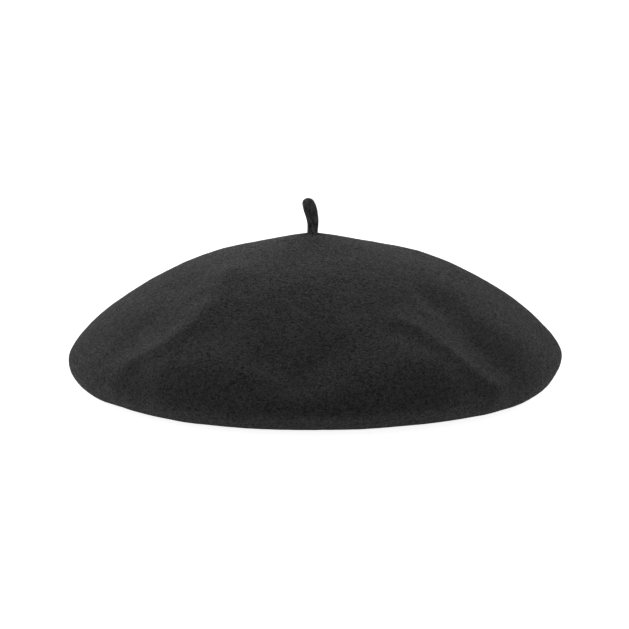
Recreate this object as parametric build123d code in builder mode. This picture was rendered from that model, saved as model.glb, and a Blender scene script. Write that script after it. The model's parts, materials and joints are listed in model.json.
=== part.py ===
"""A round one-piece felt beret with a stalk, a leather head band, a loose satin lining and two labels.

The origin is the centre of the head opening, on the plane that the beret rests on. +Z is up towards
the stalk, -Y is the front, and +Y is the back, where the ends of the head band meet.
"""

from build123d import *
from math import cos, pi, radians, sin
import os

# ---- Driving dimensions, in millimetres and degrees ----
head_circumference = 570
crown_diameter = 280
crown_height = 89.5
widest_height = 20
felt = 2.4
rest_ring_width = 6

band_bottom = 1.2
band_height = 22
band_thickness = 0.9
band_gap = 0.4

collar_height = 10
fold_radius = 3
fit_gap = 0.12
contact_gap = 0.05

lining = 0.3
lining_slack = 8
lining_knot_room = 6.5
lining_floor_room = 2.6
lining_hem_rise = 0.4

thread_radius = 0.22
band_stitches = 132
band_stitch_height = 5
lining_stitches = 72
lining_stitch_height = 9

stalk_height = 21.2
stalk_base_radius = 3.1
stalk_top_radius = 3.85
root_radius = 2.3

# ---- Dimensions that follow from them ----
opening_radius = head_circumference / (2 * pi)
crown_radius = crown_diameter / 2
band_outer = opening_radius + band_thickness
collar_inner = band_outer + fit_gap
collar_outer = collar_inner + felt
band_top = band_bottom + band_height
pivot_height = crown_height - 0.3

# Points of the dome, as a share of the crown's radius and of its rise above the widest line.
dome_shape = [(0.25, 0.906), (0.50, 0.763), (0.75, 0.507), (0.93, 0.218)]
# How far in and up from its widest and lowest lines the rim passes.
rim_inset = 13
rim_rise = 3.6
# How far the dome's flat apex and upright widest line hold their direction. Below 1 is less far.
end_firmness = (0.6, 0.6)


def bag_line(radius, top, floor, hem, fold, hem_height, hole=0):
    """Adds one face of a crown-shaped bag: dome, rim, flat ring and the hem round the opening."""
    rise = top - widest_height
    dome_points = [(share * radius, widest_height + part * rise) for share, part in dome_shape]
    widest = (radius, widest_height)
    ends = {"tangents": [(1, 0), (0, -1)], "tangent_scalars": end_firmness}
    dome = Spline((hole, top), *dome_points, widest, **ends)
    rim_point = (radius - rim_inset, floor + rim_rise)
    ring_end = (hem + fold + rest_ring_width, floor)
    rim = Spline(dome @ 1, rim_point, ring_end, tangents=[(0, -1), (-1, 0)])
    ring = Line(rim @ 1, (hem + fold, floor))
    turn = RadiusArc(ring @ 1, (hem, floor + fold), fold)
    return dome @ 0, Line(turn @ 1, (hem, hem_height)) @ 1


def bag_wall(outer_face, inner_face):
    """Adds the section of a bag's wall, between two faces that bag_line makes."""
    with BuildSketch(Plane.XZ) as section:
        with BuildLine():
            outer_top, outer_hem = bag_line(**outer_face)
            inner_top, inner_hem = bag_line(**inner_face)
            Line(outer_top, inner_top)
            Line(outer_hem, inner_hem)
        make_face()
    revolve(section.sketch, axis=Axis.Z)


def save(part, name):
    """Labels a finished piece and writes it to its own file."""
    part.label = name
    export_step(part, f"parts/{name}.step")


os.makedirs("parts", exist_ok=True)

# ---- Crown: one felt shell, from the stalk over the dome, round the rim and under to the opening ----
stalk_hole = root_radius + 0.15
felt_outer_face = dict(
    radius=crown_radius,
    top=crown_height,
    floor=0,
    hem=collar_inner,
    fold=fold_radius,
    hem_height=collar_height,
    hole=stalk_hole,
)
felt_inner_face = dict(
    radius=crown_radius - felt,
    top=crown_height - felt,
    floor=felt,
    hem=collar_outer,
    fold=fold_radius - felt,
    hem_height=collar_height,
    hole=stalk_hole,
)

with BuildPart() as crown_felt:
    bag_wall(felt_outer_face, felt_inner_face)
save(crown_felt.part, "crown_felt")

# ---- Head band: a leather strip bent into a ring, open at the back where its ends meet ----
with BuildPart() as sweatband:
    with BuildSketch(Plane.XY.offset(band_bottom)):
        Circle(band_outer)
        Circle(opening_radius, mode=Mode.SUBTRACT)
        with Locations((0, opening_radius)):
            Rectangle(band_gap, 4 * band_thickness, mode=Mode.SUBTRACT)
    extrude(amount=band_height)
    upper_edges = sweatband.edges().group_by(Axis.Z)[-1].filter_by(GeomType.CIRCLE)
    fillet(upper_edges, radius=band_thickness / 3)
save(sweatband.part, "sweatband")

# ---- Tape behind the band's meeting ends, above the felt collar ----
tape_width = 14
tape_thickness = 0.5
tape_inner = band_outer + contact_gap
tape_bottom = collar_height + 0.8

with BuildPart() as back_seam_tape:
    with BuildSketch(Plane.XY.offset(tape_bottom)):
        Circle(tape_inner + tape_thickness)
        Circle(tape_inner, mode=Mode.SUBTRACT)
        with Locations((0, tape_inner)):
            Rectangle(tape_width, 8 * tape_thickness, mode=Mode.INTERSECT)
    extrude(amount=band_top - 1 - tape_bottom)
save(back_seam_tape.part, "back_seam_tape")


def stitch_loops(inner, outer, length, height, places):
    """Adds a closed loop of thread at each place, from the inner to the outer radius, as a lockstitch."""
    middle, depth = (inner + outer) / 2, outer - inner
    with BuildSketch(Plane.XY.offset(height - thread_radius)) as loops:
        with places(middle):
            RectangleRounded(depth, length, 1.5 * thread_radius)
            hole_size = (depth - 4 * thread_radius, length - 4 * thread_radius)
            Rectangle(*hole_size, mode=Mode.SUBTRACT)
    extrude(loops.sketch, amount=2 * thread_radius)


# ---- Lockstitch that joins the leather band to the felt collar, all round ----
with BuildPart() as sweatband_stitching:
    stitch_loops(
        inner=opening_radius - thread_radius,
        outer=collar_outer + thread_radius,
        length=3.4,
        height=band_stitch_height,
        places=lambda middle: PolarLocations(middle, band_stitches, start_angle=90 + 180 / band_stitches),
    )
save(sweatband_stitching.part, "sweatband_stitching")

# ---- Rungs of the zigzag seam that closes the band at the back, through the leather and the tape ----
rung_pitch = 2.2
rung_count = 5
first_rung = tape_bottom + 1.4

with BuildPart() as back_seam_stitching:
    for rung in range(rung_count):
        stitch_loops(
            inner=opening_radius - thread_radius,
            outer=tape_inner + tape_thickness + thread_radius,
            length=4.2,
            height=first_rung + rung * rung_pitch,
            places=lambda middle: PolarLocations(middle, 1, start_angle=90),
        )
save(back_seam_stitching.part, "back_seam_stitching")

# ---- Lining: a loose satin bag inside the crown, hemmed to the outside of the felt collar ----
lining_hem = collar_outer + fit_gap
lining_outer_face = dict(
    radius=crown_radius - felt - lining_slack,
    top=crown_height - felt - lining_knot_room,
    floor=felt + lining_floor_room,
    hem=lining_hem,
    fold=fold_radius,
    hem_height=collar_height + lining_hem_rise,
)
lining_inner_face = dict(
    radius=lining_outer_face["radius"] - lining,
    top=lining_outer_face["top"] - lining,
    floor=lining_outer_face["floor"] + lining,
    hem=lining_hem + lining,
    fold=fold_radius - lining,
    hem_height=lining_outer_face["hem_height"],
)

with BuildPart() as lining_bag:
    bag_wall(lining_outer_face, lining_inner_face)
save(lining_bag.part, "lining")

# ---- Blind stitches that hold the lining's hem to the collar ----
with BuildPart() as lining_stitching:
    stitch_loops(
        inner=collar_inner + felt / 2,
        outer=lining_hem + lining + thread_radius,
        length=3.0,
        height=lining_stitch_height,
        places=lambda middle: PolarLocations(middle, lining_stitches),
    )
save(lining_stitching.part, "lining_stitching")

# ---- Labels: each is a loop of ribbon that hangs on a bar of thread behind the head band ----
label_layer = 0.25
label_eye_radius = 0.35
label_radius = band_outer + 1.3
label_pivot_height = collar_height + 1.2
tack_overhang = 1.2
tack_thread_radius = 0.25


def label_plane(azimuth):
    """The plane at a label's pivot. Its x axis points out of the crown, and its y axis points up."""
    outward = Vector(cos(radians(azimuth)), sin(radians(azimuth)), 0)
    pivot = outward * label_radius + Vector(0, 0, label_pivot_height)
    return Plane(origin=pivot, x_dir=outward, z_dir=outward.cross(Vector(0, 0, 1)))


def label_loop(azimuth, width, length):
    """Adds a flat loop of ribbon round the label's pivot, standing up from it."""
    outer_height = 2 * (label_eye_radius + label_layer)
    with BuildSketch(label_plane(azimuth)) as section:
        with Locations((0, length / 2 - outer_height / 2)):
            SlotOverall(length, outer_height, rotation=90)
            inner_size = (length - 2 * label_layer, 2 * label_eye_radius)
            SlotOverall(*inner_size, rotation=90, mode=Mode.SUBTRACT)
    extrude(section.sketch, amount=width / 2, both=True)


def tack_bar(azimuth, width):
    """Adds the bar of thread that a label turns on, with both ends sewn into the leather."""
    side = label_plane(azimuth)
    reach = width / 2 + tack_overhang
    depth = label_radius - (opening_radius**2 - reach**2) ** 0.5 - band_thickness / 2
    corners = [(-depth, 0, -reach), (0, 0, -reach), (0, 0, reach), (-depth, 0, reach)]
    with BuildLine(side) as bar:
        FilletPolyline(*corners, radius=2 * tack_thread_radius)
    with BuildSketch(Plane(origin=bar.line @ 0, z_dir=bar.line % 0)) as section:
        Circle(tack_thread_radius)
    sweep(section.sketch, path=bar.line)


size_label_azimuth = 72
size_label_width = 12
size_label_length = 13
care_label_azimuth = 48
care_label_width = 22
care_label_length = 16

with BuildPart() as size_label:
    label_loop(size_label_azimuth, size_label_width, size_label_length)
save(size_label.part, "size_label")

with BuildPart() as size_label_tack:
    tack_bar(size_label_azimuth, size_label_width)
save(size_label_tack.part, "size_label_tack")

with BuildPart() as care_label:
    label_loop(care_label_azimuth, care_label_width, care_label_length)
save(care_label.part, "care_label")

with BuildPart() as care_label_tack:
    tack_bar(care_label_azimuth, care_label_width)
save(care_label_tack.part, "care_label_tack")

# ---- Stalk root: the gathered ball of felt, in the crown's centre hole, that the stalk turns on ----
pivot = (0, 0, pivot_height)

with BuildPart() as stalk_root:
    with Locations(pivot):
        Sphere(root_radius)
save(stalk_root.part, "stalk_root")

# ---- Stalk: a felted cord, thicker towards its rounded end, that leans to the wearer's side ----
stalk_bottom = crown_height + contact_gap
top_round = 3.1
# Each section: share of the stalk's height, sideways lean, radius.
stalk_sections = [
    (0.00, 0.0, stalk_base_radius),
    (0.25, 0.3, stalk_base_radius),
    (0.45, 0.1, 0.5 * (stalk_base_radius + stalk_top_radius)),
    (0.70, -1.1, stalk_top_radius),
    (1.00, -2.4, stalk_top_radius - 0.25),
]

with BuildPart() as stalk:
    with BuildLine():
        spine_points = [(lean, 0, stalk_bottom + share * stalk_height) for share, lean, _ in stalk_sections]
        spine = Spline(*spine_points)
    for centre, (share, _, radius) in zip(spine_points, stalk_sections):
        along = spine % spine.param_at_point(centre) if share > 0 else (0, 0, 1)
        with BuildSketch(Plane(origin=centre, z_dir=along)):
            Circle(radius)
    loft()
    fillet(stalk.edges().group_by(Axis.Z)[-1], radius=top_round)
    with Locations(pivot):
        Sphere(root_radius + contact_gap, mode=Mode.SUBTRACT)
save(stalk.part, "stalk")

# ---- Knot that ends the stalk inside the crown, and the thread crossed under it ----
knot_radius = 5.5
knot_depth = 3
knot_top = pivot_height - stalk_base_radius

with BuildPart() as stalk_knot:
    with BuildSketch(Plane.XZ):
        with BuildLine():
            across = Line((0, knot_top), (knot_radius, knot_top))
            belly = Spline(across @ 1, (0, knot_top - knot_depth), tangents=[(0, -1), (-1, 0)])
            Line(belly @ 1, across @ 0)
        make_face()
    revolve(axis=Axis.Z)
save(stalk_knot.part, "stalk_knot")

thread_crossings = [(Plane.XZ, 0.1), (Plane.YZ, 0.1 + 2 * thread_radius + contact_gap)]

with BuildPart() as stalk_tack_thread:
    for upright_plane, slack in thread_crossings:
        with BuildLine(upright_plane) as crossing:
            lowest = (0, knot_top - knot_depth - slack)
            start, end = (-knot_radius, knot_top), (knot_radius, knot_top)
            Spline(start, lowest, end, tangents=[(0, -1), (0, 1)])
        with BuildSketch(Plane(origin=crossing.line @ 0, z_dir=crossing.line % 0)):
            Circle(thread_radius)
        sweep(path=crossing.line)
save(stalk_tack_thread.part, "stalk_tack_thread")
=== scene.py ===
import json
import math

import bmesh
import bpy
import numpy as np
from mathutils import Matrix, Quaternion, Vector, noise


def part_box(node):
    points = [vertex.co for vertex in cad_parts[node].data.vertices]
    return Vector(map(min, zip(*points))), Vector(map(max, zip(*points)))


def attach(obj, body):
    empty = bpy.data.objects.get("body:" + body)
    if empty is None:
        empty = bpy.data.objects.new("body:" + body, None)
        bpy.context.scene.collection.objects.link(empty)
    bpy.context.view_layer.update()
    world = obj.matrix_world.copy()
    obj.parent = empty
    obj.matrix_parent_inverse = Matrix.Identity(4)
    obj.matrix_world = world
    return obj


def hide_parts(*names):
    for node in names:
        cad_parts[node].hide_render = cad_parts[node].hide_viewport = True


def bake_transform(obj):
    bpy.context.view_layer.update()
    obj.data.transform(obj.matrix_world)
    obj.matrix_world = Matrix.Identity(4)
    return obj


# A felt beret: the looks of each piece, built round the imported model. Lengths are in metres.

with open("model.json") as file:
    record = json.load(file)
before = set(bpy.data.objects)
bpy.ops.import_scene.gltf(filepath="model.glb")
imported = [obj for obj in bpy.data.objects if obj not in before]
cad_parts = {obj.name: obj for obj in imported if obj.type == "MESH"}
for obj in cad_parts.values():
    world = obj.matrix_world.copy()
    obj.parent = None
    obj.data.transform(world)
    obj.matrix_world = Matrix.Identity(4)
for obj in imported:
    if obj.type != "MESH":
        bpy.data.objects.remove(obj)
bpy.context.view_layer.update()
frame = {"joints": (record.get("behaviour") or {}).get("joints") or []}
MM = 0.001

# ---- Sizes read from the frame ----
crown_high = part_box("crown_felt")[1]
band_low, band_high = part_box("sweatband")
lining_low, lining_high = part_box("lining")
tape_low, tape_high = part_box("back_seam_tape")
knot_low, knot_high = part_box("stalk_knot")
root_low, root_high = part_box("stalk_root")
stalk_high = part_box("stalk")[1]
joints = {joint["name"]: joint for joint in frame["joints"]}

CROWN_RADIUS = crown_high.x
CROWN_TOP = crown_high.z
BAND_OUTER = band_high.x
BAND_THICKNESS = 0.9 * MM
BAND_INNER = BAND_OUTER - BAND_THICKNESS
ROOT_RADIUS = (root_high.x - root_low.x) / 2
PIVOT = Vector(joints["stalk_nod"]["pos_m"])

# ---- The felt's shape: a dome, a widest line, a rim, a flat ring to stand on, a fold and a collar ----
FELT = 2.4 * MM
LAYER_GAP = 0.12 * MM
COLLAR_INNER = BAND_OUTER + LAYER_GAP
COLLAR_OUTER = COLLAR_INNER + FELT
COLLAR_HEIGHT = 10 * MM
FOLD = 3 * MM
RING_WIDTH = 6 * MM
WIDEST = 20 * MM
RIM_INSET, RIM_RISE = 13 * MM, 3.6 * MM
# Points on the dome: share of the radius, and share of the height above the widest line.
DOME_SHAPE = [(0.25, 0.906), (0.50, 0.763), (0.75, 0.507), (0.93, 0.218)]
END_FIRMNESS = 0.6


# ---------------------------------------------------------------------------------------------
# Curves and meshes
# ---------------------------------------------------------------------------------------------


def clamped_curve(points, first, last, count):
    """Evenly spaced points on a smooth curve through points, leaving along first and arriving along last."""
    p = np.array(points, float)
    chord = np.linalg.norm(np.diff(p, axis=0), axis=1)
    system, right = np.eye(len(p)), np.zeros_like(p)
    right[0], right[-1] = first, last
    for i in range(1, len(p) - 1):
        before, after = chord[i - 1], chord[i]
        system[i, i - 1 : i + 2] = after, 2 * (before + after), before
        right[i] = 3 * (before * (p[i + 1] - p[i]) / after + after * (p[i] - p[i - 1]) / before)
    slopes = np.linalg.solve(system, right)
    t = np.linspace(0, 1, 60, endpoint=False)[:, None]
    dense = []
    for i, span in enumerate(chord):
        start = (2 * t**3 - 3 * t**2 + 1) * p[i] + (t**3 - 2 * t**2 + t) * span * slopes[i]
        end = (3 * t**2 - 2 * t**3) * p[i + 1] + (t**3 - t**2) * span * slopes[i + 1]
        dense.append(start + end)
    return evenly(np.concatenate(dense + [p[-1:]]), count)


def evenly(points, count):
    """The same line with count evenly spaced points."""
    way = distance_along(points)
    even = np.linspace(0, way[-1], count)
    return np.stack([np.interp(even, way, points[:, k]) for k in range(points.shape[1])], 1)


def distance_along(points):
    """How far along a line of points each of them lies."""
    return np.concatenate([[0], np.cumsum(np.linalg.norm(np.diff(points, axis=0), axis=1))])


def smoothstep(low, high, x):
    """0 below low, 1 above high, and a smooth rise between them. Limits in reverse order make a fall."""
    t = np.clip((x - low) / (high - low), 0, 1)
    return t * t * (3 - 2 * t)


def bumps(points, size, seed):
    """Smooth noise between about -1 and 1 at each point, with features of this size."""
    offset = Vector((seed * 3.7, seed * 1.3, seed * 5.1))
    values = [noise.noise(Vector(p) + offset) for p in points.reshape(-1, 3) / size]
    return np.array(values).reshape(points.shape[:-1])


def joined_piece(name, parts):
    """One mesh from several grids of points, each given as (rows, close_rows, caps). A row is a closed ring.
    The last row of a grid may join its first, or its two ends may be capped."""
    points, faces, start = [], [], 0
    for rows, close_rows, caps in parts:
        count, width = rows.shape[:2]
        index = start + np.arange(count * width).reshape(count, width)
        a = index if close_rows else index[:-1]
        b = np.roll(index, -1, axis=0) if close_rows else index[1:]
        quads = np.stack([a, np.roll(a, -1, axis=1), np.roll(b, -1, axis=1), b], -1)
        faces += quads.reshape(-1, 4).tolist()
        if caps:
            faces += [index[0, ::-1].tolist(), index[-1].tolist()]
        points.append(rows.reshape(-1, 3))
        start += count * width
    return mesh_piece(name, np.concatenate(points), faces)


def grid_piece(name, rows, close_rows=False, caps=False):
    """A mesh object from one grid of points."""
    return joined_piece(name, [(rows, close_rows, caps)])


def new_object(name, data):
    """An object in the scene that holds this mesh, lamp or camera."""
    made = bpy.data.objects.new(name, data)
    bpy.context.scene.collection.objects.link(made)
    return made


def mesh_piece(name, points, faces):
    """A smooth-shaded mesh object with outward faces."""
    mesh = bpy.data.meshes.new(name)
    mesh.from_pydata([tuple(p) for p in np.asarray(points, float)], [], faces)
    mesh.validate()
    mesh.polygons.foreach_set("use_smooth", [True] * len(mesh.polygons))
    mesh.update()
    piece = new_object(name, mesh)
    face_outwards(piece)
    return piece


def face_outwards(piece):
    """Turns a closed mesh's faces outwards."""
    work = bmesh.new()
    work.from_mesh(piece.data)
    bmesh.ops.recalc_face_normals(work, faces=work.faces)
    work.to_mesh(piece.data)
    work.free()
    piece.data.update()


def dress(piece, body, material, node):
    """Puts the material on a piece, rides it on its body and lets it stand for this CAD node.
    A piece given None for its body rides on no body."""
    piece.data.materials.append(material)
    if body:
        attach(piece, body)
    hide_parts(node)
    return piece


STRANDS = 2
STRAND_DEPTH = 0.16
THREAD_SIDES = 8


def thread_rows(path, radius, turns, lobe_depth=STRAND_DEPTH, closed=False):
    """Rings of points round a path: a thread of two strands, twisted this many turns."""
    path = np.asarray(path, float)
    ahead = np.roll(path, -1, 0) - np.roll(path, 1, 0) if closed else np.gradient(path, axis=0)
    ahead /= np.linalg.norm(ahead, axis=1)[:, None]
    side = np.cross(ahead[0], [0.12, 0.23, 0.97])
    angle = np.linspace(0, 2 * np.pi, THREAD_SIDES, endpoint=False)
    rings = []
    for i, (centre, along) in enumerate(zip(path, ahead)):
        side = side - along * (side @ along)
        side /= np.linalg.norm(side)
        other = np.cross(along, side)
        twist = turns * 2 * np.pi * i / len(path)
        wide = radius * (1 + lobe_depth * np.cos(STRANDS * angle + twist))
        to_side = (np.cos(angle) * wide)[:, None] * side
        to_other = (np.sin(angle) * wide)[:, None] * other
        rings.append(centre + to_side + to_other)
    return np.array(rings)


# ---------------------------------------------------------------------------------------------
# Materials
# ---------------------------------------------------------------------------------------------


class Nodes:
    """The nodes of a material or a world, added one a line. A socket given as an input is linked to it."""

    def __init__(self, owner):
        self.owner = owner
        owner.use_nodes = True
        self.tree = owner.node_tree
        self.tree.nodes.clear()

    def add(self, kind, inputs=(), **settings):
        """A node of this kind. Its inputs are given by name or by number."""
        node = self.tree.nodes.new("ShaderNode" + kind)
        for key, value in settings.items():
            setattr(node, key, value)
        for key, value in dict(inputs).items():
            if isinstance(value, bpy.types.NodeSocket):
                self.tree.links.new(value, node.inputs[key])
            else:
                node.inputs[key].default_value = value
        return node

    def math(self, operation, a, b):
        return self.add("Math", {0: a, 1: b}, operation=operation).outputs[0]

    def mix(self, factor, a, b):
        """a where factor is 0 and b where it is 1, as colours."""
        return self.add("Mix", {0: factor, 6: a, 7: b}, data_type="RGBA").outputs[2]

    def ramp(self, value, low, high):
        """Stretches value so that low becomes 0 and high becomes 1."""
        inputs = {"Value": value, "From Min": low, "From Max": high}
        return self.add("MapRange", inputs, clamp=True).outputs[0]

    def place(self):
        """The object's own coordinates, in metres."""
        return self.add("TexCoord").outputs["Object"]

    def turned(self, vector, rotation, scale):
        """The same coordinates, turned and stretched."""
        inputs = {"Vector": vector, "Rotation": rotation, "Scale": scale}
        return self.add("Mapping", inputs).outputs[0]

    def noise(self, vector, scale, detail=2.0, roughness=0.5, distortion=0.0):
        inputs = {"Vector": vector, "Scale": scale, "Detail": detail, "Roughness": roughness}
        inputs["Distortion"] = distortion
        return self.add("TexNoise", inputs).outputs["Fac"]

    def show(self, shader, kind="OutputMaterial"):
        """Makes this shader the surface, and returns the finished material or world."""
        output = self.add(kind)
        self.tree.links.new(shader.outputs[0], output.inputs["Surface"])
        return self.owner

    def finish(self, colour, height, depth, roughness, **more):
        """The surface: a principled shader over a bump map of this depth."""
        bump = self.add("Bump", {"Height": height, "Distance": depth, "Strength": 1.0})
        inputs = {"Base Color": colour, "Roughness": roughness, "Normal": bump.outputs[0]}
        inputs.update({key.replace("_", " "): value for key, value in more.items()})
        return self.show(self.add("BsdfPrincipled", inputs))


def new_material(name):
    return Nodes(bpy.data.materials.new(name))


def grey(level):
    """A neutral linear colour."""
    return (level, level, level, 1.0)


LEATHER_PORE = (0.020, 0.010, 0.006, 1)
LEATHER_DARK, LEATHER_PALE = (0.045, 0.021, 0.012, 1), (0.095, 0.046, 0.027, 1)
RIBBON_DARK, RIBBON_PALE = (0.52, 0.50, 0.45, 1), (0.78, 0.77, 0.72, 1)


def felt_material(name, painted_light_gain=1.0, squeeze=1.0):
    """Fulled wool: matted fibres, a melange of dark and paler hairs, and a soft sheen.
    A squeeze below 1 draws the fibres out lengthwise, and a colour scale above 1 lightens the felt as painted
    light."""
    n = new_material(name)
    place = n.turned(n.place(), (0, 0, 0), (1, 1, squeeze))
    fibres = None
    for rotation in [(0.3, 0.2, 0.4), (1.1, 0.7, 1.9), (2.0, 1.5, 0.6), (0.8, 2.4, 2.9)]:
        lines = n.noise(n.turned(place, rotation, (600, 1500, 1500)), 1.0, 1.0, 0.5, 1.0)
        hair = n.ramp(lines, 0.56, 0.70)
        fibres = hair if fibres is None else n.math("MAXIMUM", fibres, hair)
    fine = n.math("MULTIPLY", n.noise(place, 900, 3.0, 0.75), 0.7)
    clumps = n.math("MULTIPLY", n.noise(place, 430, 2.0, 0.6, 1.2), 0.3)
    speckle = n.ramp(n.math("ADD", fine, clumps), 0.39, 0.61)
    mottle = n.ramp(n.noise(place, 55, 3.0, 0.6), 0.35, 0.65)
    body = n.mix(speckle, grey(0.004 * painted_light_gain), grey(0.052 * painted_light_gain))
    body = n.mix(n.math("MULTIPLY", fibres, 0.5), body, grey(0.085 * painted_light_gain))
    body = n.mix(n.math("MULTIPLY", mottle, 0.25), body, grey(0.020 * painted_light_gain))
    height = n.math("ADD", n.math("MULTIPLY", fibres, 0.3), n.math("MULTIPLY", speckle, 0.6))
    nap = n.mix(speckle, grey(0.12), grey(0.95))
    shine = {"Specular_IOR_Level": 0.10, "Sheen_Weight": 0.36, "Sheen_Roughness": 0.40, "Sheen_Tint": nap}
    return n.finish(body, height, 0.35 * MM, 0.95, **shine)


def leather_material():
    """Smooth dark brown leather with a fine pebble grain, darker in its pores."""
    n = new_material("leather_band")
    place = n.place()
    cells = n.add("TexVoronoi", {"Vector": place, "Scale": 1100.0}, feature="DISTANCE_TO_EDGE")
    pores = n.ramp(cells.outputs["Distance"], 0.0, 0.16)
    tone = n.noise(place, 90, 4.0, 0.6)
    colour = n.mix(n.ramp(tone, 0.3, 0.7), LEATHER_DARK, LEATHER_PALE)
    colour = n.mix(pores, LEATHER_PORE, colour)
    height = n.math("ADD", pores, n.math("MULTIPLY", tone, 0.5))
    roughness = n.ramp(n.noise(place, 400, 2.0), -0.6, 2.2)
    return n.finish(colour, height, 0.10 * MM, roughness, Specular_IOR_Level=0.45)


def satin_material():
    """Black satin: fine threads floating one way, and a broad sheen."""
    n = new_material("satin_lining")
    place = n.place()
    floats = n.noise(n.turned(place, (0, 0, 0.6), (3200, 500, 900)), 1.0, 1.0)
    shade = n.noise(place, 40, 2.0)
    colour = n.mix(n.ramp(floats, 0.3, 0.7), grey(0.014), grey(0.040))
    colour = n.mix(n.ramp(shade, 0.3, 0.8), colour, grey(0.024))
    shine = {"Specular_IOR_Level": 0.45, "Sheen_Weight": 0.15, "Anisotropic": 0.4}
    return n.finish(colour, floats, 0.04 * MM, 0.46, **shine)


def woven_material(name, dark, light, pitch):
    """A weave of about this thread pitch: level threads crossed by slanting ones."""
    n = new_material(name)
    place = n.place()
    wave = {"Vector": place, "Scale": 0.5 / pitch, "Distortion": 0.4, "Detail": 1.0}
    warp = n.add("TexWave", wave, wave_type="BANDS", bands_direction="Z").outputs["Fac"]
    weft = n.add("TexWave", wave, wave_type="BANDS", bands_direction="DIAGONAL").outputs["Fac"]
    over = n.math("MAXIMUM", warp, weft)
    fluff = n.noise(place, 1500, 2.0)
    colour = n.mix(n.ramp(over, 0.2, 1.0), dark, light)
    colour = n.mix(n.math("MULTIPLY", fluff, 0.3), colour, dark)
    height = n.math("ADD", over, n.math("MULTIPLY", fluff, 0.4))
    return n.finish(colour, height, 0.10 * MM, 0.85, Specular_IOR_Level=0.25, Sheen_Weight=0.1)


def thread_material():
    """Twisted black thread."""
    n = new_material("sewing_thread")
    place = n.place()
    twist = n.noise(n.turned(place, (0.5, 0.9, 0.3), (2500, 4500, 4500)), 1.0, 1.0)
    colour = n.mix(n.ramp(twist, 0.3, 0.7), grey(0.016), grey(0.060))
    return n.finish(colour, twist, 0.05 * MM, 0.55, Specular_IOR_Level=0.4, Sheen_Weight=0.2)


FELT_LOOK = felt_material("charcoal_felt")
# The stalk's felt is a lighter copy of the crown's: painted light, standing in for the light its fuzz
# catches.
STALK_PAINTED_LIGHT_LOOK = felt_material("charcoal_felt_stalk_painted_light", painted_light_gain=1.7, squeeze=0.3)
LEATHER_LOOK = leather_material()
SATIN_LOOK = satin_material()
THREAD_LOOK = thread_material()
TAPE_LOOK = woven_material("cotton_tape", grey(0.008), grey(0.024), 0.45 * MM)
LABEL_LOOK = woven_material("blank_ribbon", RIBBON_DARK, RIBBON_PALE, 0.30 * MM)


# ---------------------------------------------------------------------------------------------
# Crown and lining: bags of cloth, each a wall between two faces
# ---------------------------------------------------------------------------------------------


def bag_section(radius, top, floor, hem, fold, hem_height, hole, counts):
    """Points (r, z) down one face of a bag, this many on each of its dome, rim, flat ring, fold and hem."""
    widest = (radius, WIDEST)
    dome_points = [(share * radius, WIDEST + part * (top - WIDEST)) for share, part in DOME_SHAPE]
    dome_ends = (END_FIRMNESS, 0), (0, -END_FIRMNESS)
    rim_points = [widest, (radius - RIM_INSET, floor + RIM_RISE), (hem + fold + RING_WIDTH, floor)]
    turn = np.radians(np.linspace(-90, -180, counts[3]))
    stretches = [
        clamped_curve([(hole, top)] + dome_points + [widest], *dome_ends, counts[0]),
        clamped_curve(rim_points, (0, -1), (-1, 0), counts[1]),
        np.linspace(rim_points[-1], (hem + fold, floor), counts[2]),
        np.stack([hem + fold + fold * np.cos(turn), floor + fold + fold * np.sin(turn)], 1),
        np.linspace((hem, floor + fold), (hem, hem_height), counts[4]),
    ]
    return np.concatenate([s[:-1] for s in stretches[:-1]] + stretches[-1:])


def outward(section):
    """The unit normals of a section, pointing out of the bag."""
    ahead = np.gradient(section, axis=0)
    normals = np.stack([-ahead[:, 1], ahead[:, 0]], 1)
    return normals / np.linalg.norm(normals, axis=1)[:, None]


def spun(section, azimuths):
    """A section turned round the axis: one column of points at each azimuth."""
    r, z = section[:, 0][:, None], section[:, 1][:, None]
    return np.stack([r * np.cos(azimuths), r * np.sin(azimuths), z + 0 * azimuths * r], -1)


class Stroke:
    """One press of the sculptor's thumb, with a height and a width in millimetres and a path. Each point of
    the path is in degrees round the crown (-90 is the front) and millimetres down the felt from the stalk.
    A positive height lifts a ridge, and a negative one presses a hollow."""

    def __init__(self, height, width, *path):
        self.height, self.width, self.path = height * MM, width * MM, path

    def lift(self, points, way, section):
        """How far the stroke moves each point outwards."""
        knots = np.array(self.path, float)
        knots = evenly(knots, 24) if len(knots) > 1 else knots
        r = np.interp(knots[:, 1] * MM, way, section[:, 0])
        z = np.interp(knots[:, 1] * MM, way, section[:, 1])
        azimuth = np.radians(knots[:, 0])
        line = np.stack([r * np.cos(azimuth), r * np.sin(azimuth), z], 1)
        nearest = np.full(points.shape[:-1], np.inf)
        for spot in line:
            nearest = np.minimum(nearest, np.sum((points - spot) ** 2, axis=-1))
        return self.height * np.exp(-nearest / self.width**2)


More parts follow.
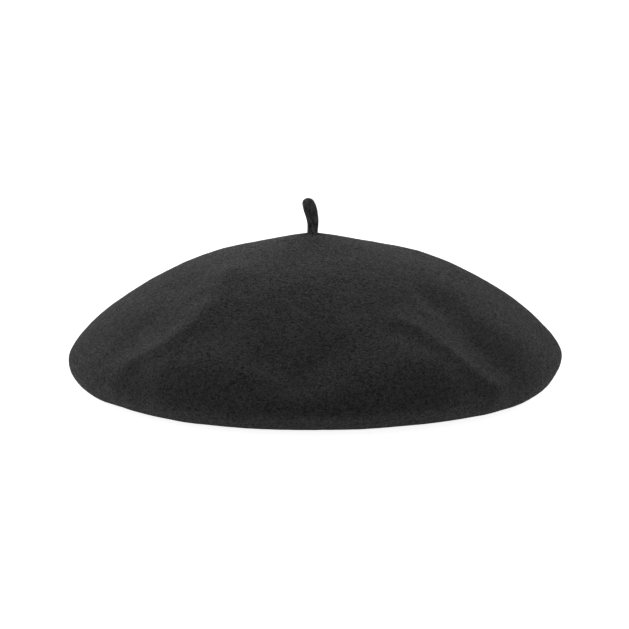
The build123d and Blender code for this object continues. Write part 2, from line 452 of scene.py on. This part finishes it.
# The front, as the felt has settled: a long soft ridge to the left, two full lobes over the rim with a
# flat tongue between them, a crease and a hollow to the right.
STROKES = [
    Stroke(2.0, 14, (-132, 66), (-127, 92), (-126, 112), (-130, 133), (-139, 148)),
    Stroke(1.3, 6, (-126, 100), (-126, 114), (-130, 133), (-138, 147)),
    Stroke(-2.4, 15, (-144, 128)),
    Stroke(-1.5, 14, (-152, 86)),
    Stroke(5.6, 18, (-124, 150), (-117, 146), (-109, 149)),
    Stroke(5.6, 18, (-75, 151), (-68, 143), (-62, 147)),
    Stroke(-3.8, 14, (-101, 133), (-94, 143), (-87, 133)),
    Stroke(-2.2, 26, (-94, 112)),
    Stroke(2.6, 9, (-100, 163), (-86, 163)),
    Stroke(1.8, 6, (-64, 108), (-59, 118), (-56, 132), (-52, 146), (-44, 163)),
    Stroke(1.0, 5, (-50, 81), (-50, 103)),
    Stroke(-4.4, 16, (-43, 98), (-43, 126), (-40, 144)),
    Stroke(2.0, 13, (-42, 178), (-16, 178)),
    Stroke(1.4, 12, (-172, 178), (-158, 178)),
    # The sides and the back.
    Stroke(1.6, 22, (16, 66), (8, 110), (0, 150)),
    Stroke(-2.0, 20, (160, 124), (155, 150)),
    Stroke(2.4, 22, (138, 112), (132, 150)),
    Stroke(-1.6, 22, (112, 110), (106, 150)),
    Stroke(1.2, 22, (88, 104), (84, 152)),
    Stroke(-1.6, 22, (58, 112), (62, 150)),
    Stroke(2.0, 22, (36, 118), (32, 152)),
]

CROWN_COLUMNS = 320
CROWN_COUNTS = (130, 46, 6, 6, 6)
ROOT_GAP = 0.15 * MM
# The crown sits this much to one side of its stalk at the widest line.
SIDE_SHIFT = 0.9 * MM


def crown_shape():
    """The folded crown: its outer and inner faces as rows of points, the way outwards at each point before
    folding, and how far down the felt from the stalk each row lies."""
    shared = COLLAR_HEIGHT, ROOT_RADIUS + ROOT_GAP, CROWN_COUNTS
    outer = bag_section(CROWN_RADIUS, CROWN_TOP, 0, COLLAR_INNER, FOLD, *shared)
    inner = bag_section(CROWN_RADIUS - FELT, CROWN_TOP - FELT, FELT, COLLAR_OUTER, FOLD - FELT, *shared)
    azimuths = np.linspace(0, 2 * np.pi, CROWN_COLUMNS, endpoint=False)
    base, back = spun(outer, azimuths), spun(inner, azimuths)
    way = distance_along(outer)
    normals = spun(outward(outer), azimuths)
    push = sum(stroke.lift(base, way, outer) for stroke in STROKES)
    push += 0.7 * MM * bumps(base, 34 * MM, seed=2)
    push += 0.25 * MM * bumps(base, 11 * MM, seed=5)
    # The felt is free to fold between the stalk and the ring that it stands on.
    widest_way = way[CROWN_COUNTS[0] - 1]
    rest_way = way[CROWN_COUNTS[0] + CROWN_COUNTS[1] - 2]
    held_at_rim = smoothstep(widest_way + 8 * MM, rest_way - 4 * MM, way)
    loose = smoothstep(6 * MM, 40 * MM, way) * (1 - held_at_rim)
    push *= loose[:, None]
    for face in (base, back):
        face += normals * push[..., None]
        from_axis = np.hypot(face[..., 0], face[..., 1])
        face[..., 0] += SIDE_SHIFT * smoothstep(20 * MM, CROWN_RADIUS, from_axis)
    return base, back, normals, way


PUCKERS = 9


def crown_piece():
    """The felt shell, with its nap, the pucker round its stalk and its turned-up collar."""
    base, back, normals, way = crown_shape()
    from_axis = np.hypot(base[..., 0], base[..., 1])
    swirl = np.arctan2(base[..., 1], base[..., 0]) * PUCKERS + from_axis / (1.6 * MM)
    pucker = 0.22 * MM * np.cos(swirl) * np.exp(-(((from_axis - 5 * MM) / (4 * MM)) ** 2))
    neck = 0.8 * MM * np.exp(-np.clip(from_axis - 3 * MM, 0, None) / (0.9 * MM))
    nap = 0.05 * MM * bumps(base, 1.6 * MM, seed=8) + 0.06 * MM * bumps(base, 4 * MM, seed=9)
    surface = base + normals * (pucker + nap)[..., None]
    surface[..., 2] += neck * (way < 30 * MM)[:, None]
    # The inner face has half as many rows, because the lining hides it.
    return grid_piece("crown", np.concatenate([surface, back[::-2]]), close_rows=True)


crown = crown_piece()
dress(crown, None, FELT_LOOK, "crown_felt")
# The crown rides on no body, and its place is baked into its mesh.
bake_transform(crown)


# ---------------------------------------------------------------------------------------------
# Stalk
# ---------------------------------------------------------------------------------------------

# The stalk from foot to tip: share of its height, and sideways lean and radius in millimetres.
STALK_STATIONS = [
    (0.06, 0.10, 3.10),
    (0.14, 0.20, 3.08),
    (0.26, 0.30, 3.12),
    (0.38, 0.22, 3.32),
    (0.52, -0.30, 3.65),
    (0.64, -0.95, 3.86),
    (0.76, -1.55, 3.92),
    (0.86, -2.00, 3.70),
    (0.93, -2.25, 3.05),
    (0.98, -2.35, 1.90),
    (1.00, -2.38, 0.60),
]
STALK_FOOT_RADIUS = 3.1 * MM
# The cord ends this far below the top of the CAD stalk, which leaves room for its grain.
STALK_TRIM = 0.7 * MM


def ring(centre_x, radius, level, sides):
    """A level ring of points."""
    angle = np.linspace(0, 2 * np.pi, sides, endpoint=False)
    return np.stack([centre_x + radius * np.cos(angle), radius * np.sin(angle), np.full(sides, level)], 1)


def stalk_piece():
    """The felted cord: a round foot in the crown, a neck, and a club end that leans to one side."""
    height = stalk_high.z - STALK_TRIM - PIVOT.z
    stations = np.array(STALK_STATIONS)
    share = np.linspace(stations[0, 0], 1.0, 84)
    lean = np.interp(share, stations[:, 0], stations[:, 1]) * MM
    radius = np.interp(share, stations[:, 0], stations[:, 2]) * MM
    lean = np.convolve(np.pad(lean, 3, "edge"), np.ones(7) / 7, "valid")
    sides = 72
    rows = []
    for tilt in np.radians(np.linspace(-80, 0, 16)[:-1]):
        wide, drop = STALK_FOOT_RADIUS * math.cos(tilt), STALK_FOOT_RADIUS * math.sin(tilt)
        rows.append(ring(0, wide, PIVOT.z + drop, sides))
    for s, x, wide in zip(share, lean, radius):
        rows.append(ring(x, wide, PIVOT.z + s * height, sides))
    rows = np.array(rows)
    # Matted wool, drawn out along the cord.
    axis = rows.mean(axis=1, keepdims=True)
    out = rows - axis
    out /= np.linalg.norm(out, axis=-1, keepdims=True)
    lengthwise = rows * np.array([1, 1, 0.16])
    grain = 0.28 * MM * bumps(lengthwise, 1.1 * MM, seed=3) + 0.14 * MM * bumps(rows, 2.2 * MM, seed=4)
    rows += out * grain[..., None]
    return grid_piece("stalk_cord", rows, caps=True)


dress(stalk_piece(), "stalk", STALK_PAINTED_LIGHT_LOOK, "stalk")


# ---------------------------------------------------------------------------------------------
# Lining
# ---------------------------------------------------------------------------------------------

LINING = 0.3 * MM
LINING_TOP_HOLE = 0.05 * MM
LINING_ABOVE_COLLAR = 0.4 * MM
LINING_COUNTS = (62, 22, 4, 5, 5)
LINING_COLUMNS = 200
LINING_GATHERS = 44
LINING_GROWTH = 0.06
LINING_FRAMES = 20
LINING_CAP = 3.0 * MM
# The cloth is held within these distances of its top and its hem.
HELD_TOP, HELD_HEM = 8 * MM, 4 * MM


def settled(piece, held, growth, frames, cap):
    """Runs the piece as cloth that is cut larger than its shape, held at some points, and returns its points.
    No point ends further than cap from where it began."""
    start = np.array([v.co for v in piece.data.vertices])
    group = piece.vertex_groups.new(name="held")
    group.add([int(i) for i in held], 1.0, "REPLACE")
    cloth = piece.modifiers.new("cloth", "CLOTH")
    settings = cloth.settings
    settings.quality = 4
    settings.mass = 0.1
    settings.tension_stiffness = 12
    settings.compression_stiffness = 12
    settings.shear_stiffness = 4
    settings.bending_stiffness = 0.6
    settings.air_damping = 4
    settings.shrink_min = -growth
    settings.vertex_group_mass = "held"
    settings.effector_weights.gravity = 0
    cloth.collision_settings.use_collision = False
    scene = bpy.context.scene
    for frame_number in range(1, frames + 1):
        scene.frame_set(frame_number)
    shown = piece.evaluated_get(bpy.context.evaluated_depsgraph_get()).to_mesh()
    end = np.array([v.co for v in shown.vertices])
    piece.modifiers.remove(cloth)
    piece.vertex_groups.remove(group)
    scene.frame_set(1)
    move = end - start
    length = np.linalg.norm(move, axis=1, keepdims=True)
    return start + move * np.minimum(1, cap / np.maximum(length, 1e-9))


def lining_piece():
    """The satin bag. Its cloth is cut larger than its shape, so it settles into soft wrinkles."""
    hem = COLLAR_OUTER + LAYER_GAP
    top, floor = lining_high.z, lining_low.z
    hem_height = COLLAR_HEIGHT + LINING_ABOVE_COLLAR
    section = bag_section(lining_high.x, top, floor, hem, FOLD, hem_height, LINING_TOP_HOLE, LINING_COUNTS)
    azimuths = np.linspace(0, 2 * np.pi, LINING_COLUMNS, endpoint=False)
    rows = spun(section, azimuths)
    way = distance_along(section)
    gathers = smoothstep(30 * MM, 0, np.abs(way - way[-1]))[:, None] * np.cos(LINING_GATHERS * azimuths)
    loose = smoothstep(4 * MM, 14 * MM, way) * smoothstep(1 * MM, 8 * MM, way[-1] - way)
    unevenness = 0.6 * MM * bumps(rows, 14 * MM, seed=21) + 0.5 * MM * gathers
    rows = rows + spun(outward(section), azimuths) * (unevenness * loose[:, None])[..., None]
    count, width = rows.shape[:2]
    sheet = grid_piece("lining_sheet", rows)
    index = np.arange(count * width).reshape(count, width)
    held = index[(way < HELD_TOP) | (way > way[-1] - HELD_HEM)].ravel()
    rows = settled(sheet, held, LINING_GROWTH, LINING_FRAMES, LINING_CAP).reshape(rows.shape)
    bpy.data.objects.remove(sheet)
    # The cloth's other face lies its thickness further in, along normals taken after it has settled.
    across = np.roll(rows, -1, 1) - np.roll(rows, 1, 1)
    down = np.gradient(rows, axis=0)
    normals = np.cross(across, down)
    normals /= np.maximum(np.linalg.norm(normals, axis=-1, keepdims=True), 1e-12)
    outside = np.sum(normals * spun(outward(section), azimuths), axis=-1, keepdims=True)
    normals *= np.sign(outside)
    back = rows - normals * LINING
    return grid_piece("satin_bag", np.concatenate([rows, back[::-1]]), close_rows=True)


satin_bag = dress(lining_piece(), None, SATIN_LOOK, "lining")
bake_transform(satin_bag)


# ---------------------------------------------------------------------------------------------
# Head band, tape and stitches
# ---------------------------------------------------------------------------------------------

BACK = math.pi / 2
SLIT = 0.4 * MM
TAPE_HALF_WIDTH = 7 * MM
TAPE_GAP, TAPE_THICKNESS = 0.05 * MM, 0.5 * MM
TAPE_INNER = BAND_OUTER + TAPE_GAP
TAPE_OUTER = TAPE_INNER + TAPE_THICKNESS

THREAD = 0.22 * MM
BAND_STITCHES, BAND_STITCH_LENGTH, BAND_STITCH_HEIGHT = 132, 3.4 * MM, 5 * MM
HEM_STITCHES, HEM_STITCH_LENGTH, HEM_STITCH_HEIGHT = 72, 3.0 * MM, 9 * MM
RUNGS, RUNG_LENGTH, RUNG_PITCH, RUNG_START = 5, 4.2 * MM, 2.2 * MM, 1.4 * MM


def bent_strip(name, inner, outer, low, high, angles, heights, inner_relief, outer_relief):
    """A strip bent round the axis, with rounded edges. The reliefs move its two faces outwards."""
    upright = np.linspace(low, high, heights)
    from_edge = np.minimum(upright - low, high - upright)
    thick = outer - inner
    rounding = 0.32 * thick * np.exp(-((from_edge / (0.35 * thick)) ** 2))
    a, z = np.meshgrid(angles, upright, indexing="ij")
    near_side = inner + rounding + inner_relief(a, z)
    far_side = outer - rounding + outer_relief(a, z)
    r = np.concatenate([near_side, far_side[:, ::-1]], 1)
    z = np.concatenate([z, z[:, ::-1]], 1)
    a = np.concatenate([a, a], 1)
    return grid_piece(name, np.stack([r * np.cos(a), r * np.sin(a), z], -1), caps=True)


def band_piece():
    """The leather strip bent into a ring: a groove where it is sewn, a pressed line below its top edge, and a
    free upper part that leans in a little, unevenly. Its ends meet at the back."""
    half_slit = SLIT / 2 / BAND_INNER
    angles = np.linspace(BACK + half_slit, BACK + 2 * np.pi - half_slit, 480)

    def lean(a, z):
        points = np.stack([BAND_INNER * np.cos(a), BAND_INNER * np.sin(a), 0.4 * z], -1)
        from_back = np.minimum(a - BACK, BACK + 2 * np.pi - a)
        free = smoothstep(12 * MM, band_high.z, z) * smoothstep(0.12, 0.5, from_back)
        return -free * MM * (0.45 + 0.45 * bumps(points, 30 * MM, seed=31))

    def inner_relief(a, z):
        groove = 0.16 * MM * np.exp(-(((z - BAND_STITCH_HEIGHT) / (0.6 * MM)) ** 2))
        pressed_line = 0.14 * MM * np.exp(-(((z - band_high.z + 2.2 * MM) / (0.3 * MM)) ** 2))
        return lean(a, z) + groove + pressed_line

    limits = BAND_INNER, BAND_OUTER, band_low.z, band_high.z
    return bent_strip("leather_band", *limits, angles, 64, inner_relief, lean)


def tape_piece():
    """Woven cotton tape behind the band's ends, with a thicker edge along each side."""
    half = math.asin(TAPE_HALF_WIDTH / tape_high.y)
    angles = np.linspace(BACK - half, BACK + half, 96)
    thread_pitch = 0.9 * MM

    def weave(a, z):
        along = 2 * np.pi * a * tape_high.y / thread_pitch
        return 0.04 * MM * np.cos(along) * np.cos(2 * np.pi * z / thread_pitch)

    def outer_weave(a, z):
        edge = smoothstep(half - 0.012, half, np.abs(a - BACK))
        return weave(a, z) + 0.08 * MM * edge

    limits = TAPE_INNER, TAPE_OUTER, tape_low.z, tape_high.z
    return bent_strip("cotton_tape_piece", *limits, angles, 72, weave, outer_weave)


def turned_about_axis(rows, azimuth):
    """Rows of points turned about the vertical axis from azimuth 0 to this one."""
    c, s = math.cos(azimuth), math.sin(azimuth)
    x, y = rows[..., 0], rows[..., 1]
    return np.stack([x * c - y * s, x * s + y * c, rows[..., 2]], -1)


def flat_sided(wave):
    """A wave between -1 and 1 made squarer, so that a loop's sides lie flat."""
    return np.sign(wave) * np.abs(wave) ** 0.45


def stitches(name, inner, outer, length, heights, azimuths, seed):
    """Lockstitches, each a loop of twisted thread through the layers between the inner and outer radius."""
    chance = np.random.default_rng(seed)
    turn = np.linspace(0, 2 * np.pi, 40, endpoint=False)
    middle, half_depth, half_length = (inner + outer) / 2, (outer - inner) / 2, length / 2 - THREAD
    parts = []
    for azimuth, height in zip(azimuths, heights):
        radial = middle + half_depth * flat_sided(np.cos(turn))
        sideways = half_length * flat_sided(np.sin(turn))
        slant = chance.uniform(0.03, 0.16) * MM
        level = height + slant * np.sin(turn)
        path = np.stack([radial, sideways, level], 1)
        loop = thread_rows(path, THREAD, turns=4, closed=True)
        parts.append((turned_about_axis(loop, azimuth + chance.uniform(-0.0006, 0.0006)), True, False))
    return joined_piece(name, parts)


def round_the_ring(count, start=0.0):
    """Evenly spaced azimuths round the whole ring, from this many steps past azimuth 0."""
    return (np.arange(count) + start) * 2 * np.pi / count


dress(band_piece(), "shell", LEATHER_LOOK, "sweatband")
dress(tape_piece(), "shell", TAPE_LOOK, "back_seam_tape")

# A stitch's loop is given by its inner radius, outer radius and length.
band_loop = BAND_INNER, COLLAR_OUTER, BAND_STITCH_LENGTH
band_azimuths = BACK + round_the_ring(BAND_STITCHES, 0.5)
band_heights = [BAND_STITCH_HEIGHT] * BAND_STITCHES
band_thread = stitches("band_lockstitch", *band_loop, band_heights, band_azimuths, seed=41)
dress(band_thread, "shell", THREAD_LOOK, "sweatband_stitching")

rung_loop = BAND_INNER, TAPE_OUTER, RUNG_LENGTH
rung_heights = tape_low.z + RUNG_START + RUNG_PITCH * np.arange(RUNGS)
rung_thread = stitches("back_seam_rungs", *rung_loop, rung_heights, [BACK] * RUNGS, seed=42)
dress(rung_thread, "shell", THREAD_LOOK, "back_seam_stitching")

# The lining's stitches go only half way into the collar, so that they don't show inside it.
hem_loop = COLLAR_INNER + FELT / 2 + THREAD, COLLAR_OUTER + LAYER_GAP + LINING, HEM_STITCH_LENGTH
hem_heights = [HEM_STITCH_HEIGHT] * HEM_STITCHES
hem_thread = stitches("lining_stitch", *hem_loop, hem_heights, round_the_ring(HEM_STITCHES), seed=43)
dress(hem_thread, "shell", THREAD_LOOK, "lining_stitching")


# ---------------------------------------------------------------------------------------------
# Labels, each on its bar of thread
# ---------------------------------------------------------------------------------------------

RIBBON = 0.25 * MM
EYE = 0.35 * MM
PRESSED_HALF_GAP = 0.16 * MM
NOD_RADIUS = 3 * MM
TACK_THREAD = 0.25 * MM
TACK_CORNER = 0.5 * MM
UP = np.array([0, 0, 1.0])


def hinge_directions(joint):
    """A label hinge's place, its direction along the band, and its direction away from the axis."""
    pivot = np.array(joint["pos_m"])
    along = np.array(joint["axis"]) / np.linalg.norm(joint["axis"])
    out = pivot * (1, 1, 0) / np.hypot(pivot[0], pivot[1])
    return pivot, along, out


def ribbon_loop(top):
    """The middle line of a folded ribbon, as outward and upward distances: an eye round its tack at the foot,
    and two layers pressed together above it."""
    eye = EYE + RIBBON / 2
    rise = np.linspace(0, top, 44)
    gap = PRESSED_HALF_GAP + (eye - PRESSED_HALF_GAP) * np.exp(-((rise / (1.7 * MM)) ** 2))
    over = np.linspace(0, np.pi, 7)[1:-1]
    under = np.linspace(np.pi, 2 * np.pi, 12)[1:-1]
    x = np.concatenate([gap, PRESSED_HALF_GAP * np.cos(over), -gap[::-1], eye * np.cos(under)])
    up = np.concatenate([rise, top + PRESSED_HALF_GAP * np.sin(over), rise[::-1], eye * np.sin(under)])
    return x, up


def label_piece(name, joint, width, length, seed):
    """A blank ribbon folded over: round its tack at the foot, pressed flat above, with a slight curl."""
    pivot, along, out = hinge_directions(joint)
    top = length - 2 * (EYE + RIBBON)
    x, up = ribbon_loop(top)
    ahead = np.stack([np.roll(x, -1) - np.roll(x, 1), np.roll(up, -1) - np.roll(up, 1)], 1)
    ahead /= np.linalg.norm(ahead, axis=1)[:, None]
    normal = np.stack([ahead[:, 1], -ahead[:, 0]], 1)

    # Each row goes across one face of the ribbon and back across the other, and thins at its edges.
    across = np.linspace(-width / 2, width / 2, 22)
    edge = 1 - 0.5 * np.exp(-(((width / 2 - np.abs(across)) / (0.12 * MM)) ** 2))
    side = np.concatenate([edge, -edge[::-1]]) * RIBBON / 2
    across = np.concatenate([across, across[::-1]])
    x_all = x[:, None] + normal[:, :1] * side
    up_all = up[:, None] + normal[:, 1:] * side
    v = np.broadcast_to(across, x_all.shape)
    flat = v[..., None] * along + up_all[..., None] * UP
    tip = smoothstep(1 * MM, top, up_all)
    curl = tip * MM * (0.2 + 0.2 * (2 * v / width) ** 2 + 0.4 * bumps(flat, 9 * MM, seed))

    # Above the head band the ribbon nods in over it.
    start = band_high.z - pivot[2]
    angle = np.clip(up_all - start, 0, None) / NOD_RADIUS
    up_bent = np.minimum(up_all, start) + (NOD_RADIUS + x_all) * np.sin(angle)
    x_bent = (NOD_RADIUS + x_all) * np.cos(angle) - NOD_RADIUS
    points = v[..., None] * along + up_bent[..., None] * UP + (x_bent + curl)[..., None] * out
    return grid_piece(name, pivot + points, close_rows=True)


def tack_piece(name, joint, width):
    """A bar of twisted thread whose ends are sewn into the leather."""
    pivot, along, out = hinge_directions(joint)
    reach = width / 2 + 1.2 * MM
    in_leather = math.sqrt(BAND_INNER**2 - reach**2) + BAND_THICKNESS / 2
    depth = np.hypot(pivot[0], pivot[1]) - in_leather
    corner = np.radians(np.linspace(0, 90, 8))
    x_corner = -TACK_CORNER + TACK_CORNER * np.sin(corner)
    v_corner = -reach + TACK_CORNER - TACK_CORNER * np.cos(corner)
    x = np.concatenate([np.linspace(-depth, -TACK_CORNER, 6), x_corner])
    v = np.concatenate([np.full(6, -reach), v_corner])
    middle = np.linspace(v[-1], -v[-1], 60)[1:-1]
    x = np.concatenate([x, np.zeros(len(middle)), x[::-1]])
    v = np.concatenate([v, middle, -v[::-1]])
    path = pivot + x[:, None] * out + v[:, None] * along
    return grid_piece(name, thread_rows(path, TACK_THREAD, turns=9, lobe_depth=0.14), caps=True)


# Each label's width, length and seed.
LABELS = {"size_label": (12 * MM, 13 * MM, 51), "care_label": (22 * MM, 16 * MM, 52)}

for label, (width, length, seed) in LABELS.items():
    hinge = joints[label + "_flap"]
    ribbon = label_piece(label + "_ribbon", hinge, width, length, seed)
    dress(ribbon, label, LABEL_LOOK, label)
    dress(tack_piece(label + "_bar", hinge, width), "shell", THREAD_LOOK, label + "_tack")


# ---------------------------------------------------------------------------------------------
# Stalk root, knot and the thread under it
# ---------------------------------------------------------------------------------------------


def root_piece():
    """The small gathered ball of felt that the stalk turns on."""
    sides = 40
    angle = np.linspace(0, 2 * np.pi, sides, endpoint=False)
    lumps = (1 + 0.02 * np.cos(7 * angle))[:, None] * (1, 1, 0) + (0, 0, 1)
    tilts = np.radians(np.linspace(88, -88, 30))
    rows = np.array([ring(0, math.cos(tilt), math.sin(tilt), sides) * lumps for tilt in tilts])
    return grid_piece("stalk_root_felt", np.array(PIVOT) + 0.97 * ROOT_RADIUS * rows, caps=True)


def knot_piece():
    """The stalk's end gathered into a flat knot inside the crown: folds run in to its middle."""
    radius, depth_below, depth_above = knot_high.x, knot_high.z - knot_low.z, 0.7 * MM
    sides = 96
    angle = np.linspace(0, 2 * np.pi, sides, endpoint=False)
    rows = []
    for tilt in np.radians(np.linspace(88, -88, 44)):
        wide = radius * math.cos(tilt) ** 0.8
        depth = depth_above if tilt > 0 else depth_below
        rows.append(ring(0, wide, knot_high.z + depth * math.sin(tilt), sides))
    rows = np.array(rows)
    spread = np.hypot(rows[..., 0], rows[..., 1]) / radius
    folds = 0.30 * MM * np.cos(PUCKERS * angle + 2 * spread) * spread * (1 - 0.3 * spread)
    lumps = 0.18 * MM * bumps(rows, 1.8 * MM, seed=61)
    rows[..., 2] += folds * np.where(rows[..., 2] < knot_high.z, 1, 0.3) + lumps
    rows[..., :2] *= (1 - 0.03 * (1 + np.cos(PUCKERS * angle)))[None, :, None]
    return grid_piece("gathered_knot", rows, caps=True)


def crossed_thread_piece():
    """Two runs of thread that cross under the knot, with their ends in its rim."""
    radius = knot_high.x
    parts = []
    for turn, slack in [(0.0, 0.1 * MM), (BACK, 0.6 * MM)]:
        sweep = np.linspace(-np.pi / 2, np.pi / 2, 60)
        reach, drop = np.sin(sweep), np.cos(sweep) ** 0.8
        level = knot_high.z - (knot_high.z - knot_low.z + slack) * drop
        path = np.stack([radius * reach, np.zeros(60), level], 1)
        rows = thread_rows(path, THREAD, turns=8)
        parts.append((turned_about_axis(rows, turn), False, True))
    return joined_piece("knot_thread", parts)


dress(root_piece(), "stalk_root", FELT_LOOK, "stalk_root")
dress(knot_piece(), "crown_top", FELT_LOOK, "stalk_knot")
dress(crossed_thread_piece(), "crown_top", THREAD_LOOK, "stalk_tack_thread")


# ---------------------------------------------------------------------------------------------
# Floor, light and camera
# ---------------------------------------------------------------------------------------------

FLOOR_LEVEL = -0.2 * MM
FLOOR_OPENING, FLOOR_RADIUS = 0.092, 8.0
FLOOR_SIDES = 96


def floor_material():
    """A pale floor that shows white from above, and is clear from below and to the lamps under it."""
    n = new_material("pale_floor")
    paper = n.add("BsdfDiffuse", {"Color": grey(0.85)})
    glow = n.add("Emission", {"Color": grey(1.0), "Strength": 0.9})
    white = n.add("AddShader", {0: paper.outputs[0], 1: glow.outputs[0]})
    dull = n.add("BsdfDiffuse", {"Color": grey(0.35)})
    clear = n.add("BsdfTransparent")
    path = n.add("LightPath")
    seen = n.add("MixShader", {0: path.outputs["Is Camera Ray"], 1: dull.outputs[0], 2: white.outputs[0]})
    geometry = n.add("NewGeometry")
    open_side = n.math("MAXIMUM", geometry.outputs["Backfacing"], path.outputs["Is Shadow Ray"])
    return n.show(n.add("MixShader", {0: open_side, 1: seen.outputs[0], 2: clear.outputs[0]}))


def floor_piece():
    """A wide floor, open under the head so that light reaches the inside."""
    inner = ring(0, FLOOR_OPENING, FLOOR_LEVEL, FLOOR_SIDES)
    outer = ring(0, FLOOR_RADIUS, FLOOR_LEVEL, FLOOR_SIDES)
    quads = []
    for i in range(FLOOR_SIDES):
        following = (i + 1) % FLOOR_SIDES
        quads.append((i, FLOOR_SIDES + i, FLOOR_SIDES + following, following))
    mesh = bpy.data.meshes.new("floor")
    mesh.from_pydata(inner.tolist() + outer.tolist(), [], quads)
    mesh.materials.append(floor_material())
    return new_object("floor", mesh)


def surround():
    """A world that the camera sees as white. Its light falls off from the horizon to the zenith."""
    n = Nodes(bpy.data.worlds.new("surround"))
    upward = n.add("SeparateXYZ", {0: n.add("TexCoord").outputs["Generated"]}).outputs["Z"]
    strength = n.add("MapRange", {"Value": upward, "To Min": 0.80, "To Max": 0.20}).outputs[0]
    fill = n.add("Background", {"Color": grey(1.0), "Strength": strength})
    seen = n.add("Background", {"Color": grey(1.0), "Strength": 1.1})
    path = n.add("LightPath")
    both = n.add("MixShader", {0: path.outputs["Is Camera Ray"], 1: fill.outputs[0], 2: seen.outputs[0]})
    return n.show(both, "OutputWorld")


def softbox(name, place, target, size, power):
    """A square soft light that points at target."""
    light = bpy.data.lights.new(name, "AREA")
    light.shape = "SQUARE"
    light.size = size
    light.energy = power
    lamp = new_object(name, light)
    lamp.location = place
    lamp.rotation_mode = "QUATERNION"
    lamp.rotation_quaternion = (Vector(target) - Vector(place)).to_track_quat("-Z", "Y")


def inside_lamp():
    """A narrow lamp under the floor that lights only the inside, through the head opening."""
    depth, beam_radius = 600 * MM, 86 * MM
    light = bpy.data.lights.new("inside", "SPOT")
    light.energy = 5
    light.spot_size = 2 * math.atan(beam_radius / depth)
    light.spot_blend = 0.1
    light.shadow_soft_size = 0.05
    lamp = new_object("inside", light)
    lamp.location = (0, 0, -depth)
    lamp.rotation_euler = (math.pi, 0, 0)


def camera():
    """A long lens about 11 degrees above level, in front of the beret."""
    elevation, distance, roll = math.radians(10.8), 1.8, math.radians(-0.12)
    middle, aim = Vector((0, 0, 18 * MM)), Vector((1.1 * MM, 0, 43 * MM))
    place = middle + distance * Vector((0, -math.cos(elevation), math.sin(elevation)))
    data = bpy.data.cameras.new("camera")
    data.sensor_width = 36
    data.lens = 180
    data.clip_start, data.clip_end = 0.05, 50
    eye = new_object("camera", data)
    eye.location = place
    eye.rotation_mode = "QUATERNION"
    eye.rotation_quaternion = (aim - place).to_track_quat("-Z", "Y") @ Quaternion((0, 0, 1), roll)
    bpy.context.scene.camera = eye


floor_piece()
scene = bpy.context.scene
scene.world = surround()
softbox("key", place=(-1.6, -0.5, 0.7), target=(0, 0, 0.05), size=1.2, power=3.5)
softbox("left_rim", place=(-1.3, 1.3, 0.45), target=(0, 0, 0.06), size=0.9, power=7)
softbox("right_rim", place=(1.3, 1.3, 0.40), target=(0, 0, 0.06), size=0.9, power=4)
softbox("under", place=(0, -0.5, -1.2), target=(0, 0, 0), size=2.0, power=6)
inside_lamp()
camera()
scene.view_settings.view_transform = "Standard"
scene.view_settings.look = "None"
